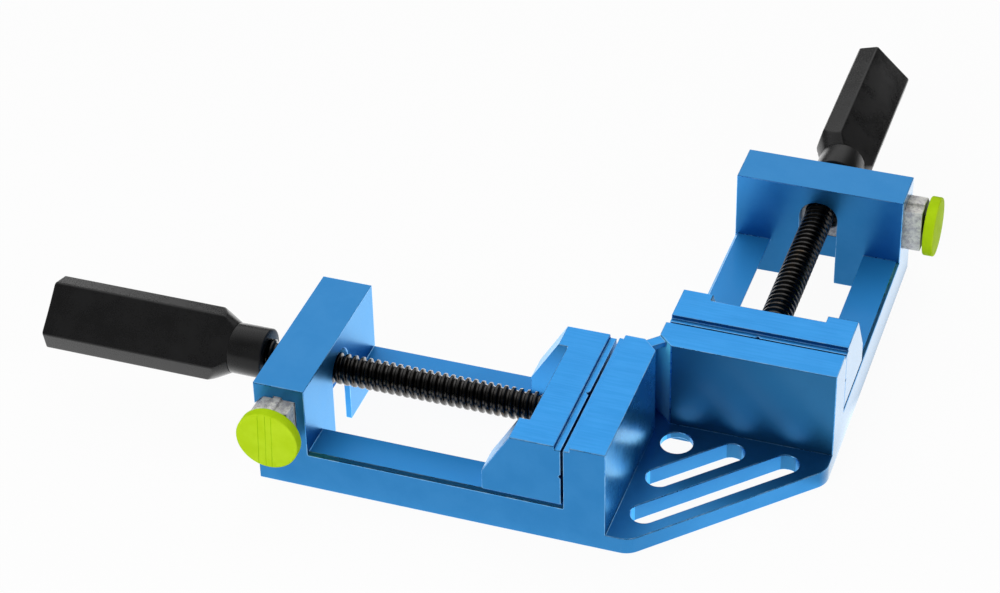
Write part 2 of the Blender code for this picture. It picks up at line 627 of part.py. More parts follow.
def build_screw(arm, matrix, spin, material):
    """Lead screw: grooved nose in the jaw, round body, and a six-sided tail inside the handle."""
    shoulder = RECESS_FACE + CLEARANCE
    groove_end = shoulder - NOSE_GROOVE_SETBACK
    groove_start = groove_end - 2 * (THRUST_PIN_RADIUS + CLEARANCE)
    tip = RECESS_FACE - NOSE_LENGTH
    chamfer = SCREW_RADIUS / 10
    body_end = HANDLE_START - CLEARANCE
    profile = [
        (tip, 0),
        (tip, NOSE_RADIUS - chamfer),
        (tip + chamfer, NOSE_RADIUS),
        (groove_start, NOSE_RADIUS),
        (groove_start, NOSE_GROOVE_RADIUS),
        (groove_end, NOSE_GROOVE_RADIUS),
        (groove_end, NOSE_RADIUS),
        (shoulder, NOSE_RADIUS),
        (shoulder, SCREW_RADIUS - chamfer),
        (shoulder + chamfer, SCREW_RADIUS),
        (body_end - chamfer, SCREW_RADIUS),
        (body_end, SCREW_RADIUS - chamfer),
        (body_end, 0),
    ]
    body = turned(profile, (ARM_CENTRE, SCREW_HEIGHT), "along", 32)
    screw = place(f"lead_screw_{arm}", body, matrix, (shoulder, ARM_CENTRE, SCREW_HEIGHT), material, spin)
    solids = tool_group(f"screw_solids_{arm}")
    tail = prism(hexagon((ARM_CENTRE, SCREW_HEIGHT), TAIL_HEX_WIDTH), "along",
                 body_end - SCREW_RADIUS, HANDLE_START + TAIL_LENGTH)
    tool(f"screw_tail_{arm}", tail, matrix, solids)
    combine(screw, "UNION", solids)


def build_handle(arm, matrix, spin, material):
    """Handle: round collar, then a flattened hexagonal grip whose root is turned to a cone."""
    cone_start = HANDLE_START + COLLAR_LENGTH
    cone_end = cone_start + CONE_LENGTH
    slope = (CONE_END_RADIUS - COLLAR_RADIUS) / CONE_LENGTH
    envelope = GRIP_FLAT_WIDTH
    grip = prism(grip_profile(), "along", cone_start - COLLAR_LENGTH / 4, HANDLE_END)
    handle = place(f"handle_{arm}", grip, matrix, (HANDLE_START, ARM_CENTRE, SCREW_HEIGHT), material, spin)

    turning = tool_group(f"handle_turning_{arm}")
    profile = [
        (HANDLE_START, 0),
        (HANDLE_START, COLLAR_RADIUS),
        (cone_start, COLLAR_RADIUS),
        (cone_end + (envelope - CONE_END_RADIUS) / slope, envelope),
        (HANDLE_END - GRIP_END_CHAMFER, envelope),
        (HANDLE_END - GRIP_END_CHAMFER, grip_tip_radius()),
        (HANDLE_END, grip_tip_radius() - GRIP_END_CHAMFER),
        (HANDLE_END, 0),
    ]
    tool(f"handle_envelope_{arm}", turned(profile, (ARM_CENTRE, SCREW_HEIGHT), "along", 48), matrix, turning)
    combine(handle, "INTERSECT", turning)

    collars = tool_group(f"handle_collar_{arm}")
    chamfer = GRIP_END_CHAMFER
    collar = turned([(HANDLE_START, 0), (HANDLE_START, COLLAR_RADIUS - chamfer),
                     (HANDLE_START + chamfer, COLLAR_RADIUS), (cone_start, COLLAR_RADIUS), (cone_start, 0)],
                    (ARM_CENTRE, SCREW_HEIGHT), "along", 48)
    tool(f"collar_{arm}", collar, matrix, collars)
    combine(handle, "UNION", collars)

    sockets = tool_group(f"handle_socket_{arm}")
    socket = prism(hexagon((ARM_CENTRE, SCREW_HEIGHT), TAIL_HEX_WIDTH + 2 * CLEARANCE), "along",
                   HANDLE_START - CLEARANCE, HANDLE_START + TAIL_LENGTH + CLEARANCE)
    tool(f"tail_socket_{arm}", socket, matrix, sockets)
    combine(handle, "DIFFERENCE", sockets)


def grip_tip_radius():
    return GRIP_FLAT_WIDTH / 2 + GRIP_THICKNESS / 2 / tan(radians(60))


def build_release(arm, matrix, slide, material):
    """Zinc block in the channel; its long bore clears the screw when the button is pressed."""
    body = prism(release_profile(0), "out", RELEASE_IN_END, RELEASE_OUT_END)
    block = place(f"release_block_{arm}", body, matrix,
                  (RELEASE_TOP_CENTRE, ARM_CENTRE, RELEASE_MIDDLE_HEIGHT), material, slide)
    cuts = tool_group(f"release_cuts_{arm}")
    width = 2 * (SCREW_RADIUS + CLEARANCE)
    bore = [(out, up) for up, out in stadium((SCREW_HEIGHT, ARM_CENTRE + RELEASE_TRAVEL / 2),
                                             width + RELEASE_TRAVEL, width)]
    tool(f"release_bore_{arm}",
         prism(bore, "along", RELEASE_INNER_FACE - RELEASE_DEPTH, RELEASE_OUTER_FACE + RELEASE_DEPTH),
         matrix, cuts)
    peg_hole = cylinder((RELEASE_TOP_CENTRE, RELEASE_MIDDLE_HEIGHT), STEM_PEG_RADIUS + CLEARANCE, "out",
                        RELEASE_OUT_END - STEM_PEG_LENGTH - CLEARANCE, RELEASE_OUT_END + STEM_LENGTH, 24)
    tool(f"peg_hole_{arm}", peg_hole, matrix, cuts)
    combine(block, "DIFFERENCE", cuts)


def build_spring(arm, matrix, slide, material):
    """Coil spring between the channel's closed end and the release block."""
    start = ARM_INNER + SPRING_END_WALL + CLEARANCE + SPRING_WIRE_RADIUS
    end = RELEASE_IN_END - CLEARANCE - SPRING_WIRE_RADIUS
    sides = 6
    per_turn = 14
    # The mirror would turn arm B's spring into a left-handed one, so its helix is wound the other way
    hand = 1 if arm == "a" else -1
    steps = per_turn * SPRING_COILS
    bm = bmesh.new()
    rings = []
    for i in range(steps + 1):
        turn = hand * 2 * pi * i / per_turn
        # The first and the last turn lie flat, as on a ground spring
        share = min(max((i - per_turn) / (steps - 2 * per_turn), 0), 1)
        seat = 2 * SPRING_WIRE_RADIUS + CLEARANCE / 3
        out = start + seat * min(i / per_turn, 1) + (end - start - 2 * seat) * share
        out += seat * max((i - steps + per_turn) / per_turn, 0)
        radial = Vector((cos(turn), 0, sin(turn)))
        centre = Vector((RELEASE_TOP_CENTRE, out, RELEASE_MIDDLE_HEIGHT)) + radial * SPRING_RADIUS
        rings.append([
            bm.verts.new(centre + (radial * cos(2 * pi * k / sides) + Vector((0, sin(2 * pi * k / sides), 0)))
                         * SPRING_WIRE_RADIUS)
            for k in range(sides)
        ])
    for low, high in zip(rings, rings[1:]):
        for k in range(sides):
            bm.faces.new((low[k], low[(k + 1) % sides], high[(k + 1) % sides], high[k]))
    bm.faces.new(rings[0])
    bm.faces.new(reversed(rings[-1]))
    place(f"release_spring_{arm}", bm, matrix, (RELEASE_TOP_CENTRE, start, RELEASE_MIDDLE_HEIGHT),
          material, slide, sharp=70)


def build_button(arm, matrix, slide, stem_material, button_material):
    """Round push button on a shouldered stem, whose pegs seat in the block and in the button."""
    axis = (RELEASE_TOP_CENTRE, RELEASE_MIDDLE_HEIGHT)
    shoulder = RELEASE_OUT_END + CLEARANCE
    shoulder_end = shoulder + STEM_LENGTH
    stem = [
        (RELEASE_OUT_END - STEM_PEG_LENGTH, 0),
        (RELEASE_OUT_END - STEM_PEG_LENGTH, STEM_PEG_RADIUS),
        (shoulder, STEM_PEG_RADIUS),
        (shoulder, STEM_RADIUS),
        (shoulder_end, STEM_RADIUS),
        (shoulder_end, STEM_PEG_RADIUS),
        (BUTTON_BACK + BUTTON_SOCKET_DEPTH - CLEARANCE, STEM_PEG_RADIUS),
        (BUTTON_BACK + BUTTON_SOCKET_DEPTH - CLEARANCE, 0),
    ]
    origin = (RELEASE_TOP_CENTRE, shoulder, RELEASE_MIDDLE_HEIGHT)
    place(f"button_stem_{arm}", turned(stem, axis, "out", 24), matrix, origin, stem_material, slide)
    disc = [
        (BUTTON_BACK + BUTTON_SOCKET_DEPTH, 0),
        (BUTTON_BACK + BUTTON_SOCKET_DEPTH, STEM_PEG_RADIUS + CLEARANCE),
        (BUTTON_BACK, STEM_PEG_RADIUS + CLEARANCE),
        (BUTTON_BACK, BUTTON_RADIUS - BUTTON_EDGE),
        (BUTTON_BACK + BUTTON_EDGE, BUTTON_RADIUS),
        (BUTTON_FACE - BUTTON_EDGE, BUTTON_RADIUS),
        (BUTTON_FACE, BUTTON_RADIUS - BUTTON_EDGE),
        (BUTTON_FACE, 0),
    ]
    place(f"button_{arm}", turned(disc, axis, "out", 64), matrix, origin, button_material, slide)


def main():
    clear_scene()
    blue = make_material("anodised_blue", (0.035, 0.24, 0.60), 0.32, 0.85)
    keeper_steel = make_material("keeper_steel", (0.30, 0.31, 0.32), 0.45, 1.0)
    bright_steel = make_material("bright_steel", (0.55, 0.55, 0.56), 0.35, 1.0)
    black_steel = make_material("blackened_steel", (0.022, 0.020, 0.019), 0.38, 0.9)
    handle_black = make_material("handle_black", (0.016, 0.016, 0.017), 0.42, 0.3)
    zinc = make_material("cast_zinc", (0.50, 0.51, 0.52), 0.55, 0.8)
    stem_black = make_material("stem_black", (0.012, 0.012, 0.013), 0.5, 0.0)
    lime = make_material("lime_plastic", (0.50, 0.72, 0.035), 0.45, 0.0)

    build_frame(blue)
    for arm, matrix in ARMS.items():
        slide = joint_empty(f"jaw_slide_{arm}", matrix, (JAW_FRONT, ARM_CENTRE, SCREW_HEIGHT))
        build_jaw(arm, matrix, slide, blue)
        build_keeper(arm, matrix, slide, keeper_steel, bright_steel)
        build_thrust_pin(arm, matrix, slide, bright_steel)
        spin = joint_empty(f"screw_spin_{arm}", matrix, (RECESS_FACE, ARM_CENTRE, SCREW_HEIGHT))
        build_screw(arm, matrix, spin, black_steel)
        build_handle(arm, matrix, spin, handle_black)
        press = joint_empty(f"release_slide_{arm}", matrix,
                            (RELEASE_TOP_CENTRE, ARM_CENTRE, RELEASE_MIDDLE_HEIGHT))
        build_release(arm, matrix, press, zinc)
        build_spring(arm, matrix, press, bright_steel)
        build_button(arm, matrix, press, stem_black, lime)


main()
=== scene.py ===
"""Corner vise dressed for the render: threads on the lead screws, soft edges and procedural materials."""

from math import cos, pi, radians, sin

import bmesh
import bpy
from mathutils import Matrix, Vector


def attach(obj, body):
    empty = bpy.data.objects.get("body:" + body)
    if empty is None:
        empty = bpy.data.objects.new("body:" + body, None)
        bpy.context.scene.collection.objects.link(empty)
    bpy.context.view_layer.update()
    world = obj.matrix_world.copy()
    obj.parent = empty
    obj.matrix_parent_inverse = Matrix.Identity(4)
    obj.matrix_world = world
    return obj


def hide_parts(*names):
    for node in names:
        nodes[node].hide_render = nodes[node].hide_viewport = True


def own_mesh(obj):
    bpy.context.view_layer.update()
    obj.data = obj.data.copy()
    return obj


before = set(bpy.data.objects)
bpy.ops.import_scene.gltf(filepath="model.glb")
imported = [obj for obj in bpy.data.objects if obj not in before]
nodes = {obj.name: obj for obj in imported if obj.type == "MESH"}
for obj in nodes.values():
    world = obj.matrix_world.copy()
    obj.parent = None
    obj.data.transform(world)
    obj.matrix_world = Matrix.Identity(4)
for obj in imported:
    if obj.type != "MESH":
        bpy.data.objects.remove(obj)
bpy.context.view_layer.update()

# Arm coordinates (along, out, up) to world. They start at the clamp corner, which lies CORNER_OFFSET from
# the part's middle both in X and in -Y.
CORNER_OFFSET = 0.0607
ARM_A = Matrix(((-1, 0, 0, CORNER_OFFSET), (0, -1, 0, -CORNER_OFFSET), (0, 0, 1, 0), (0, 0, 0, 1)))
ARM_B = Matrix(((0, 1, 0, CORNER_OFFSET), (1, 0, 0, -CORNER_OFFSET), (0, 0, 1, 0), (0, 0, 0, 1)))

# Each arm's matrix and the hand that its thread needs there, because arm B mirrors arm A
ARMS = {"a": (ARM_A, 1), "b": (ARM_B, -1)}

# The screw's axis in arm coordinates
ARM_CENTRE = 0.049425
SCREW_HEIGHT = 0.0304

# Places on the frame and the jaws that the finish follows: heights, and distances from the part's middle
RAIL_HEIGHT = 0.0165
RAIL_BAND = 0.0006
JAW_TOP_LEAST = 0.0412
JAW_LEAST = 0.03
ROOM_LEAST = 0.0765
ROOM_WALL_MOST = 0.085
MITRE_FOOT, MITRE_HEAD = 0.014, 0.042
OUTER_SIDE_LEAST = 0.12

# Least length along an axis for a normal to face that way, and least X + Y for one on the plan's diagonal
FACING = 0.8
DIAGONAL = 1.38

# A quarter round in five points, as shares of its radius: (from the end, in from the side)
ROUND = [(1 - cos(radians(a)), 1 - sin(radians(a))) for a in (0, 22.5, 45, 67.5, 90)]


# Node helpers

class Nodes:
    """Shorthand for one node tree."""

    def __init__(self, tree):
        self.tree = tree

    def add(self, kind, settings=None, **inputs):
        node = self.tree.nodes.new(kind)
        for key, value in (settings or {}).items():
            setattr(node, key, value)
        for key, value in inputs.items():
            self.put(node.inputs[key.replace("_", " ")], value)
        return node

    def put(self, socket, value):
        if isinstance(value, bpy.types.NodeSocket):
            self.tree.links.new(value, socket)
        else:
            socket.default_value = value

    def wire(self, shader, **sockets):
        for key, value in sockets.items():
            self.put(shader.inputs[key.replace("_", " ")], value)

    def coordinates(self, kind):
        return self.add("ShaderNodeTexCoord").outputs[kind]

    def split(self, kind):
        return self.add("ShaderNodeSeparateXYZ", Vector=self.coordinates(kind)).outputs

    def distance(self, point):
        node = self.add("ShaderNodeVectorMath", {"operation": "DISTANCE"}, Vector=self.coordinates("Object"))
        node.inputs[1].default_value = point
        return node.outputs["Value"]

    def place(self, scale=(1, 1, 1), turn=(0, 0, 0)):
        mapping = self.add("ShaderNodeMapping", {"vector_type": "POINT"}, Vector=self.coordinates("Object"))
        mapping.inputs["Scale"].default_value = scale
        mapping.inputs["Rotation"].default_value = turn
        return mapping.outputs["Vector"]

    def noise(self, scale, detail=2.0, roughness=0.5, vector=None, distortion=0.0):
        node = self.add("ShaderNodeTexNoise", Vector=vector or self.place(), Scale=scale, Detail=detail,
                        Roughness=roughness, Distortion=distortion)
        return node.outputs["Fac"]

    def ramp(self, value, low, high, out_low=0.0, out_high=1.0):
        settings = {"clamp": True, "interpolation_type": "SMOOTHSTEP"}
        node = self.add("ShaderNodeMapRange", settings, Value=value)
        node.inputs["From Min"].default_value = low
        node.inputs["From Max"].default_value = high
        node.inputs["To Min"].default_value = out_low
        node.inputs["To Max"].default_value = out_high
        return node.outputs["Result"]

    def blend(self, fac, first, second):
        node = self.add("ShaderNodeMix", {"data_type": "RGBA"})
        self.put(node.inputs["Factor"], fac)
        self.put(node.inputs[6], (*first, 1) if isinstance(first, tuple) else first)
        self.put(node.inputs[7], (*second, 1) if isinstance(second, tuple) else second)
        return node.outputs[2]

    def math(self, operation, first, second=0.0, third=0.0):
        node = self.add("ShaderNodeMath", {"operation": operation})
        self.put(node.inputs[0], first)
        self.put(node.inputs[1], second)
        self.put(node.inputs[2], third)
        return node.outputs[0]

    def chain(self, operation, values):
        result = values[0]
        for value in values[1:]:
            result = self.math(operation, result, value)
        return result

    def total(self, *values):
        return self.chain("ADD", values)

    def product(self, *values):
        return self.chain("MULTIPLY", values)

    def over(self, value, limit):
        return self.math("GREATER_THAN", value, limit)

    def under(self, value, limit):
        return self.math("LESS_THAN", value, limit)

    def bump(self, height, strength, distance):
        node = self.add("ShaderNodeBump", Height=height, Strength=strength, Distance=distance)
        return node.outputs["Normal"]


def new_material(name, metallic, **fixed):
    material = bpy.data.materials.new(name)
    material.use_nodes = True
    tree = material.node_tree
    shader = tree.nodes["Principled BSDF"]
    shader.inputs["Metallic"].default_value = metallic
    for key, value in fixed.items():
        shader.inputs[key.replace("_", " ")].default_value = value
    return material, shader, Nodes(tree)


# Materials

def anodised(name):
    """Satin anodised aluminium: fine blasted grain and faint clouding.

    The jaws' tops are milled and brighter. The rails' tops are duller, and painted lighter as painted light;
    the inner side of fixed jaw A is painted paler as a painted reflection, and that of fixed jaw B darker as
    painted shade, and the two differ a little in gloss; the mitres beside the corner are rough, and carry
    painted light, paler towards the top. The outer side of arm B has a thicker clear coat.
    """
    material, shader, n = new_material(name, 1.0, Coat_Roughness=0.15, Coat_IOR=1.5,
                                       Specular_Tint=(0.8, 1.0, 1.0, 1.0))
    cloud = n.noise(70, detail=4, roughness=0.6)
    fine = n.noise(2600, detail=2, roughness=0.55)
    specks = n.noise(900, detail=3, roughness=0.7)
    lines = n.noise(1100, detail=2, roughness=0.5, vector=n.place((0.06, 1, 1), (0, 0, radians(45))))
    spot, normal = n.split("Object"), n.split("Normal")

    level = n.ramp(normal["Z"], 0.93, 0.99)
    jaws = n.product(n.over(spot["X"], JAW_LEAST), n.under(spot["Y"], -JAW_LEAST))
    milled = n.product(level, jaws, n.over(spot["Z"], JAW_TOP_LEAST))
    rail = n.product(level, n.math("COMPARE", spot["Z"], RAIL_HEIGHT, RAIL_BAND))
    near_a, near_b = n.under(spot["X"], ROOM_WALL_MOST), n.over(spot["Y"], -ROOM_WALL_MOST)
    diagonal = n.over(n.math("ABSOLUTE", n.total(normal["X"], normal["Y"])), DIAGONAL)
    mitre = n.product(diagonal, near_a, near_b, jaws)
    room = n.product(n.over(spot["X"], ROOM_LEAST), n.under(spot["Y"], -ROOM_LEAST))
    inside_a = n.product(room, n.over(normal["X"], FACING), near_a)
    inside_b = n.product(room, n.under(normal["Y"], -FACING), near_b)
    outer_b = n.product(n.ramp(normal["X"], 0.70, 0.96, 0.0, 0.9), n.over(spot["X"], OUTER_SIDE_LEAST))

    body = n.blend(n.ramp(cloud, 0.3, 0.7), (0.026, 0.222, 0.545), (0.036, 0.250, 0.590))
    top = n.blend(n.ramp(lines, 0.3, 0.7), (0.030, 0.300, 0.745), (0.042, 0.332, 0.800))
    # Painted light on the mitres, paler towards the top
    mitre_painted_light = n.blend(n.ramp(spot["Z"], MITRE_FOOT, MITRE_HEAD), (0.13, 0.40, 0.70), (0.13, 0.66, 1.0))
    colour = n.blend(milled, body, top)
    # Painted light: the rails' tops are painted a lighter blue
    colour = n.blend(n.product(rail, 0.7), colour, (0.03, 0.40, 1.0))
    # Painted reflection: fixed jaw A's inner side is painted a paler blue
    colour = n.blend(inside_a, colour, (0.05, 0.42, 0.90))
    # Painted shade: fixed jaw B's inner side is painted a darker blue
    colour = n.blend(inside_b, colour, (0.022, 0.165, 0.37))
    colour = n.blend(mitre, colour, mitre_painted_light)
    colour = n.blend(n.ramp(specks, 0.62, 0.78, 0.0, 0.14), colour, (0.08, 0.36, 0.74))
    gloss = n.total(n.ramp(cloud, 0.25, 0.75, 0.32, 0.38), n.ramp(fine, 0.3, 0.7, -0.02, 0.02),
                    n.product(inside_b, 0.10), n.product(inside_a, -0.07), n.product(rail, 0.20),
                    n.product(mitre, 0.25))
    dull = n.total(n.product(rail, 0.4), n.product(mitre, 0.85))
    height = n.total(fine, n.product(milled, n.product(lines, 0.8)))
    n.wire(shader, Base_Color=colour, Roughness=gloss, Metallic=n.math("SUBTRACT", 0.88, dull),
           Coat_Weight=n.total(outer_b, 0.1), Normal=n.bump(height, 0.10, 0.00006))
    return material


def worn_edge(name):
    """The same finish on a rounded edge: thinner from wear, and lighter in patches, partly as wear and partly
    as painted highlight.
    """
    material, shader, n = new_material(name, 1.0, Coat_Weight=0.2, Coat_Roughness=0.15)
    wear_and_highlight = n.noise(240, detail=4, roughness=0.65)
    # Lighter patches on the edge: partly wear, partly painted highlight
    n.wire(shader, Base_Color=n.blend(n.ramp(wear_and_highlight, 0.35, 0.7), (0.07, 0.34, 0.74), (0.26, 0.56, 0.90)),
           Roughness=n.ramp(wear_and_highlight, 0.3, 0.7, 0.24, 0.38))
    return material


def steel(name, dark, light, rough, stretch=(1, 1, 1)):
    """Machined steel with fine tool lines."""
    material, shader, n = new_material(name, 1.0)
    lines = n.noise(1500, detail=3, roughness=0.6, vector=n.place(stretch))
    cloud = n.noise(120, detail=3, roughness=0.6)
    n.wire(shader, Base_Color=n.blend(n.ramp(cloud, 0.3, 0.7), dark, light),
           Roughness=n.ramp(lines, 0.3, 0.7, rough - 0.08, rough + 0.08), Normal=n.bump(lines, 0.15, 0.00004))
    return material


def thread_black(name):
    """Blackened, oiled thread: dark film over burnished steel, with warm grease glints."""
    material, shader, n = new_material(name, 1.0, Coat_Weight=0.2, Coat_Roughness=0.15)
    film = n.noise(420, detail=5, roughness=0.65)
    fine = n.noise(2600, detail=3, roughness=0.6)
    grease = n.noise(150, detail=4, roughness=0.6, distortion=0.4)
    base = n.blend(n.ramp(film, 0.35, 0.72), (0.024, 0.023, 0.022), (0.065, 0.062, 0.060))
    base = n.blend(n.ramp(grease, 0.6, 0.74, 0.0, 0.4), base, (0.17, 0.11, 0.055))
    n.wire(shader, Base_Color=base, Normal=n.bump(fine, 0.22, 0.00005),
           Roughness=n.total(n.ramp(film, 0.3, 0.7, 0.18, 0.30), n.ramp(fine, 0.3, 0.7, -0.04, 0.04)))
    return material


def grip_black(name):
    """Hard anodised black grip with a satin sheen and a few pale rub marks."""
    material, shader, n = new_material(name, 0.0, Specular_IOR_Level=0.25)
    cloud = n.noise(55, detail=4, roughness=0.6)
    fine = n.noise(2200, detail=2, roughness=0.6)
    rub = n.noise(500, detail=5, roughness=0.75)
    base = n.blend(n.ramp(cloud, 0.3, 0.7), (0.0105, 0.0105, 0.0107), (0.0150, 0.0150, 0.0154))
    base = n.blend(n.ramp(rub, 0.7, 0.85, 0, 0.35), base, (0.06, 0.06, 0.062))
    n.wire(shader, Base_Color=base, Normal=n.bump(fine, 0.14, 0.00005),
           Roughness=n.total(n.ramp(cloud, 0.3, 0.7, 0.24, 0.34), n.ramp(fine, 0.3, 0.7, -0.03, 0.03)))
    return material


def zinc(name):
    """Die cast zinc: pale grey, mottled purplish grey and warm patches, fine pits, and painted shade on the
    outer end.
    """
    material, shader, n = new_material(name, 0.35, Specular_IOR_Level=0.45)
    mottle = n.noise(520, detail=5, roughness=0.7)
    patch = n.noise(240, detail=3, roughness=0.6)
    warm = n.noise(330, detail=3, roughness=0.6, distortion=0.5)
    pits = n.noise(1500, detail=3, roughness=0.6)
    base = n.blend(n.ramp(mottle, 0.34, 0.62), (0.50, 0.48, 0.49), (0.95, 0.94, 0.88))
    base = n.blend(n.ramp(patch, 0.42, 0.7, 0, 0.35), base, (0.62, 0.60, 0.66))
    base = n.blend(n.ramp(warm, 0.58, 0.75, 0, 0.35), base, (0.66, 0.58, 0.50))
    base = n.blend(n.ramp(pits, 0.66, 0.76, 0, 0.6), base, (0.24, 0.23, 0.26))
    # The outer end, which faces -Y on arm A and +X on arm B, is darkened as painted shade
    normal, on_b = n.split("Normal"), n.over(n.split("Object")["X"], 0.0)
    facing_out = n.math("SUBTRACT", n.product(on_b, n.total(normal["X"], normal["Y"])), normal["Y"])
    dark = n.blend(n.ramp(mottle, 0.3, 0.7), (0.05, 0.05, 0.055), (0.13, 0.13, 0.14))
    base = n.blend(n.ramp(facing_out, 0.9, 0.97), base, dark)
    n.wire(shader, Base_Color=base, Roughness=n.ramp(mottle, 0.3, 0.7, 0.40, 0.56),
           Normal=n.bump(n.total(mottle, pits), 0.35, 0.00014))
    return material


def stem(name):
    """Black post with a fine matte grain."""
    material, shader, n = new_material(name, 0.0, Specular_IOR_Level=0.4)
    fine = n.noise(1800, detail=3, roughness=0.6)
    n.wire(shader, Base_Color=n.blend(n.ramp(fine, 0.3, 0.7), (0.010, 0.010, 0.011), (0.018, 0.018, 0.019)),
           Roughness=n.ramp(fine, 0.3, 0.7, 0.42, 0.55), Normal=n.bump(fine, 0.2, 0.00005))
    return material


def lime(name, face_reach):
    """Matte moulded plastic, deeper in colour on the rim, partly as painted shade, with a faint moulding haze
    on the face, which lies at face_reach from the part's middle."""
    material, shader, n = new_material(name, 0.0, Specular_IOR_Level=0.01)
    spot = n.split("Object")
    grain = n.noise(1700, detail=3, roughness=0.6)
    cloud = n.noise(150, detail=3, roughness=0.6)
    reach = n.math("MAXIMUM", spot["X"], n.product(spot["Y"], -1.0))
    face = n.ramp(reach, face_reach - BUTTON_EDGE, face_reach - BUTTON_EDGE / 2)
    skin = n.blend(n.ramp(cloud, 0.3, 0.7), (0.545, 0.80, 0.016), (0.60, 0.86, 0.028))
    # The rim's deeper colour is partly painted shade
    rim = n.blend(n.ramp(cloud, 0.3, 0.7), (0.49, 0.76, 0.008), (0.56, 0.84, 0.014))
    n.wire(shader, Base_Color=n.blend(face, rim, skin), Roughness=n.ramp(grain, 0.3, 0.7, 0.40, 0.54),
           Normal=n.bump(grain, 0.12, 0.00006))
    return material


# Mesh helpers

CUT_TOLERANCE = 1e-7
SAME_PLACE = 1e-6


def link(obj):
    bpy.context.scene.collection.objects.link(obj)
    return obj


def new_object(name, bm, matrix, material, crease):
    """Object from a mesh in arm coordinates, smooth where faces meet at less than the crease in degrees."""
    bm.transform(matrix)
    bmesh.ops.recalc_face_normals(bm, faces=bm.faces)
    mesh = bpy.data.meshes.new(name)
    bm.to_mesh(mesh)
    bm.free()
    mesh.shade_smooth()
    mesh.set_sharp_from_angle(angle=radians(crease))
    mesh.materials.append(material)
    return link(bpy.data.objects.new(name, mesh))


def skin_rings(bm, rings):
    """Quads between rings that have the same number of points."""
    for low, high in zip(rings, rings[1:]):
        for i in range(len(low)):
            j = (i + 1) % len(low)
            bm.faces.new((low[i], low[j], high[j], high[i]))


def rounded_start(at, radius, edge):
    """Outline of a round bar's rounded start: (place on the axis, radius)."""
    return [(at + edge * near, radius - edge * inward) for near, inward in ROUND]


def rounded_stop(at, radius, edge):
    """Outline of a round bar's rounded end: (place on the axis, radius)."""
    return [(at - edge * near, radius - edge * inward) for near, inward in reversed(ROUND)]


# Carried-over solids

EDGE_RADIUS = 0.0003
CAST_EDGE_RADIUS = 0.00025
WELD_DISTANCE = 0.00002
FLAT_ANGLE = radians(0.5)
SHARP_ANGLE = radians(32)


def paint(name, material):
    nodes[name].material_slots[0].material = material


def soften(name, radius, edge=None, merge=False):
    """Rounded edges on a carried-over solid, with the edge finish, its wear and painted highlight, on them
    where one is given.
    """
    obj = nodes[name]
    if edge:
        obj.data.materials.append(edge)
    weld = obj.modifiers.new("weld", "WELD")
    weld.merge_threshold = WELD_DISTANCE
    if merge:
        flat = obj.modifiers.new("flat", "DECIMATE")
        flat.decimate_type = "DISSOLVE"
        flat.angle_limit = FLAT_ANGLE
    bevel = obj.modifiers.new("soft_edges", "BEVEL")
    bevel.width = radius
    bevel.segments = 2
    bevel.limit_method = "ANGLE"
    bevel.angle_limit = SHARP_ANGLE
    bevel.use_clamp_overlap = False
    bevel.miter_outer = "MITER_ARC"
    if edge:
        bevel.material = 1


blue = anodised("anodised_blue")
blue_edge = worn_edge("anodised_blue_edge")
keeper = steel("keeper_steel", (0.24, 0.25, 0.26), (0.36, 0.37, 0.38), rough=0.42, stretch=(0.05, 1, 1))
bright = steel("bright_steel", (0.45, 0.45, 0.46), (0.62, 0.62, 0.63), rough=0.32)
black_thread = thread_black("blackened_steel")
grip = grip_black("handle_black")
cast = zinc("cast_zinc")
stem_black = stem("stem_black")

for name in ("frame", "moving_jaw_a", "moving_jaw_b"):
    paint(name, blue)
    soften(name, EDGE_RADIUS, edge=blue_edge)
for arm in ARMS:
    paint(f"keeper_plate_{arm}", keeper)
    soften(f"keeper_plate_{arm}", EDGE_RADIUS)
    paint(f"release_block_{arm}", cast)
    soften(f"release_block_{arm}", CAST_EDGE_RADIUS, merge=True)
    for name in ("keeper_screw_{}_1", "keeper_screw_{}_2", "thrust_pin_{}", "release_spring_{}"):
        paint(name.format(arm), bright)
    paint(f"button_stem_{arm}", stem_black)


# Release springs


def build_spring(arm):
    """A copy of the coil, attached to the base in place of the part."""
    source = nodes[f"release_spring_{arm}"]
    obj = link(bpy.data.objects.new(f"release_spring_coil_{arm}", source.data.copy()))
    obj.matrix_world = source.matrix_world
    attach(obj, "base")
    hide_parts(source.name)
    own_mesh(obj)


build_spring("a")
build_spring("b")


# Lead screws

PITCH = 0.003
THREAD_START = 0.0167
THREAD_END = 0.1280
THREAD_TOP = 0.00597
THREAD_ROOT = 0.00485
CREST_SHIFT = -0.00022
LEAD_IN_TURNS = 1.5
PER_TURN = 48
NOSE_START = 0.0052
NOSE_RADIUS = 0.0040
NOSE_CHAMFER = 0.0006
GROOVE_START = 0.0093
GROOVE_END = 0.0129
GROOVE_RADIUS = 0.0022
TAIL_END = 0.1853
TAIL_RADIUS = 0.0051
OVERLAP = 0.0002

# One pitch of the thread's section: (share of the pitch, share of the height over the root), with the
# crest's middle at CREST_SHARE
CREST_SHARE = 0.25
SECTION = (
    (0.000, 0.52), (0.070, 0.90), (0.115, 0.98), (0.160, 1.0), (0.340, 1.0), (0.385, 0.98), (0.430, 0.90),
    (0.500, 0.52), (0.570, 0.16), (0.620, 0.04), (0.680, 0.0), (0.820, 0.0), (0.880, 0.04), (0.930, 0.16),
)


